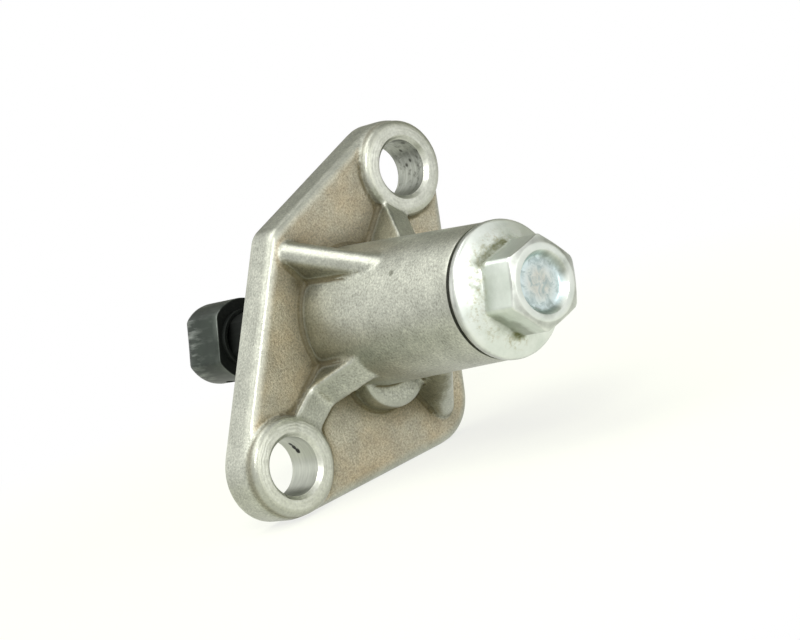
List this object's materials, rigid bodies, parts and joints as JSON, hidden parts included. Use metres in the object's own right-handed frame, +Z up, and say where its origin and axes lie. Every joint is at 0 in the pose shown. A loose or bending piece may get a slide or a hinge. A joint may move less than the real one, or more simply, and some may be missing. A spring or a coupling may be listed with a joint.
{
  "type": "timing chain tensioner",
  "caption": "Screw-type timing chain tensioner: cast flange housing with ribbed drafted barrel, hexagon plug bolt, and a spring-driven plunger that slides out through its pilot.",
  "frame": {"origin": "on the barrel's axis, in the plane of the flange's mounting face", "axes": "+Y along the barrel's axis the way the plunger moves out, +Z up with the flange's straight lower edge level, +X to the right seen from the plug bolt"},
  "size_m": [0.0535, 0.0801, 0.0495],
  "materials": {
    "cast_aluminium": "die-cast, shot-blasted",
    "zinc_plated_steel": "zinc plated",
    "seal_rubber": "matt",
    "plain_steel": "machined, oiled",
    "spring_steel": "oiled",
    "black_steel": "black oxide, worn"
  },
  "bodies": {
    "housing": {"housing": "cast_aluminium", "sealing_bolt": "zinc_plated_steel", "sealing_washer": "seal_rubber", "pilot_o_ring": "seal_rubber", "bearing_plate": "plain_steel", "retaining_ring": "spring_steel", "thrust_seat": "plain_steel", "torsion_spring": "spring_steel"},
    "plunger": {"plunger_tube": "black_steel", "plunger_cap": "black_steel", "cap_pin": "spring_steel"},
    "screw": {"lead_screw": "plain_steel"}
  },
  "joints": [
    {"name": "plunger_slide", "type": "slide", "parent": "housing", "child": "plunger", "axis": [0, 1, 0], "range_m": [-0.015, 0], "stiffness_N_per_m": 2000, "springref_m": 0.015},
    {"name": "screw_turn", "type": "hinge", "parent": "housing", "child": "screw", "pos_m": [0, 0, 0], "axis": [0, 1, 0], "range_deg": [-2, 1082], "deforming": ["torsion_spring"]}
  ],
  "couplings": [
    {"joint": "screw_turn", "follows": "plunger_slide", "rad_per_m": -1256.6}
  ]
}
